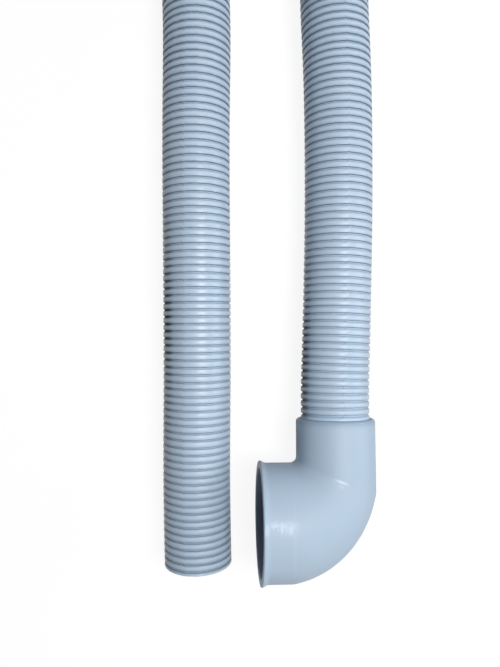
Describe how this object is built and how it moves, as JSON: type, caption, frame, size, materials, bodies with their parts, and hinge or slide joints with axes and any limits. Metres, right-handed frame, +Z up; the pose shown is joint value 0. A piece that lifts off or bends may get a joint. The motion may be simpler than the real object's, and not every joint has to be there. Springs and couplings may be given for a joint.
{
  "type": "elbow drain hose",
  "caption": "Ribbed washing machine drain hose, laid in a loose loop, with a moulded right-angle elbow whose wide mouth slips over a drain spigot.",
  "frame": {"origin": "bottom centre of the elbow's box, on the floor that the elbow and the hose lie on", "axes": "+Z up from the floor; +Y along the elbow's collar, the way the hose leaves it; the elbow's mouth faces -X"},
  "size_m": [0.3184, 0.6835, 0.0561],
  "materials": {
    "hose_plastic": "soft satin ribbed plastic, light blue grey",
    "elbow_plastic": "smooth moulded plastic, grey blue, lightly scuffed"
  },
  "bodies": {
    "root": {"hose": "hose_plastic", "elbow": "elbow_plastic"}
  },
  "joints": []
}
